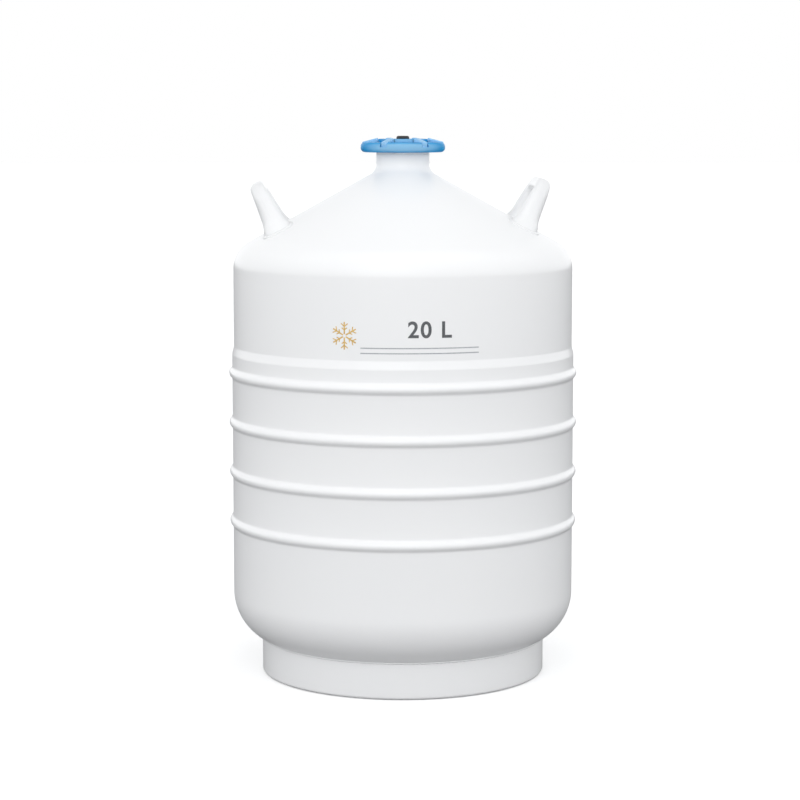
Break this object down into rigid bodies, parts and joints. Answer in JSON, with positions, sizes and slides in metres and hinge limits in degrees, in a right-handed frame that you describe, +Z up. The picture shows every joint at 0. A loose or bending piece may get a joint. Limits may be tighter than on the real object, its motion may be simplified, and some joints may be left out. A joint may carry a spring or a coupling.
{
  "type": "liquid nitrogen dewar",
  "caption": "White storage dewar with rolled hoops, a foot ring, two cast handles, a slotted blue neck ring, a lift-out foam plug and hanging canisters.",
  "frame": {"origin": "centre of the foot ring's underside, on the floor", "axes": "+Z up along the vessel's axis, +X towards the right-hand handle, -Y the printed front, +Y the pump-out port at the back"},
  "size_m": [0.4014, 0.4012, 0.6206],
  "materials": {
    "white_enamel": "gloss",
    "bare_aluminium": "satin",
    "shield_foil": "polished",
    "glass_fibre": "satin",
    "foil_blanket": "gloss",
    "adsorbent_cloth": "matte",
    "getter_steel": "satin",
    "blue_plastic": "satin",
    "black_plastic": "satin",
    "grip_plastic": "satin",
    "white_foam": "matte",
    "stainless": "satin",
    "zinc_steel": "satin",
    "nitrile": "matte"
  },
  "bodies": {
    "vessel": {"outer_shell_upper": "white_enamel", "outer_shell_lower": "white_enamel", "outer_neck": "white_enamel", "foot_ring": "white_enamel", "handle_left": "white_enamel", "handle_right": "white_enamel", "neck_collar": "bare_aluminium", "inner_neck_boss": "bare_aluminium", "inner_vessel_upper_head": "bare_aluminium", "inner_vessel_wall": "bare_aluminium", "inner_vessel_lower_head": "bare_aluminium", "canister_locator_hub": "bare_aluminium", "canister_locator_fins": "bare_aluminium", "vacuum_port_stub": "bare_aluminium", "vacuum_seal_plug": "bare_aluminium", "neck_radiation_shields": "shield_foil", "neck_tube": "glass_fibre", "insulation_wrap_1": "foil_blanket", "insulation_wrap_2": "foil_blanket", "insulation_wrap_3": "foil_blanket", "insulation_wrap_4": "foil_blanket", "adsorbent_pouch": "adsorbent_cloth", "getter_capsule": "getter_steel", "neck_index_ring": "blue_plastic", "vacuum_seal_o_ring": "nitrile"},
    "neck_plug": {"plug_lid": "blue_plastic", "plug_foam": "white_foam", "plug_knob": "black_plastic", "plug_stem": "zinc_steel", "plug_end_washer": "zinc_steel", "plug_end_nut": "zinc_steel"},
    "vacuum_cap": {"vacuum_port_cap": "blue_plastic"},
    "canister_1": {"canister_1_cup": "stainless", "canister_1_rod": "stainless", "canister_1_grip": "grip_plastic"},
    "canister_2": {"canister_2_cup": "stainless", "canister_2_rod": "stainless", "canister_2_grip": "grip_plastic"},
    "canister_3": {"canister_3_cup": "stainless", "canister_3_rod": "stainless", "canister_3_grip": "grip_plastic"},
    "canister_4": {"canister_4_cup": "stainless", "canister_4_rod": "stainless", "canister_4_grip": "grip_plastic"},
    "canister_5": {"canister_5_cup": "stainless", "canister_5_rod": "stainless", "canister_5_grip": "grip_plastic"},
    "canister_6": {"canister_6_cup": "stainless", "canister_6_rod": "stainless", "canister_6_grip": "grip_plastic"}
  },
  "joints": [
    {"name": "plug_lift", "type": "slide", "parent": "vessel", "child": "neck_plug", "axis": [0, 0, 1], "range_m": [0, 0.24]},
    {"name": "vacuum_cap_pull", "type": "slide", "parent": "vessel", "child": "vacuum_cap", "axis": [0, 0.4848, 0.8746], "range_m": [0, 0.025]},
    {"name": "canister_1_lift", "type": "slide", "parent": "vessel", "child": "canister_1", "axis": [0, 0, 1], "range_m": [0, 0.15]},
    {"name": "canister_2_lift", "type": "slide", "parent": "vessel", "child": "canister_2", "axis": [0, 0, 1], "range_m": [0, 0.15]},
    {"name": "canister_3_lift", "type": "slide", "parent": "vessel", "child": "canister_3", "axis": [0, 0, 1], "range_m": [0, 0.15]},
    {"name": "canister_4_lift", "type": "slide", "parent": "vessel", "child": "canister_4", "axis": [0, 0, 1], "range_m": [0, 0.15]},
    {"name": "canister_5_lift", "type": "slide", "parent": "vessel", "child": "canister_5", "axis": [0, 0, 1], "range_m": [0, 0.15]},
    {"name": "canister_6_lift", "type": "slide", "parent": "vessel", "child": "canister_6", "axis": [0, 0, 1], "range_m": [0, 0.15]}
  ]
}
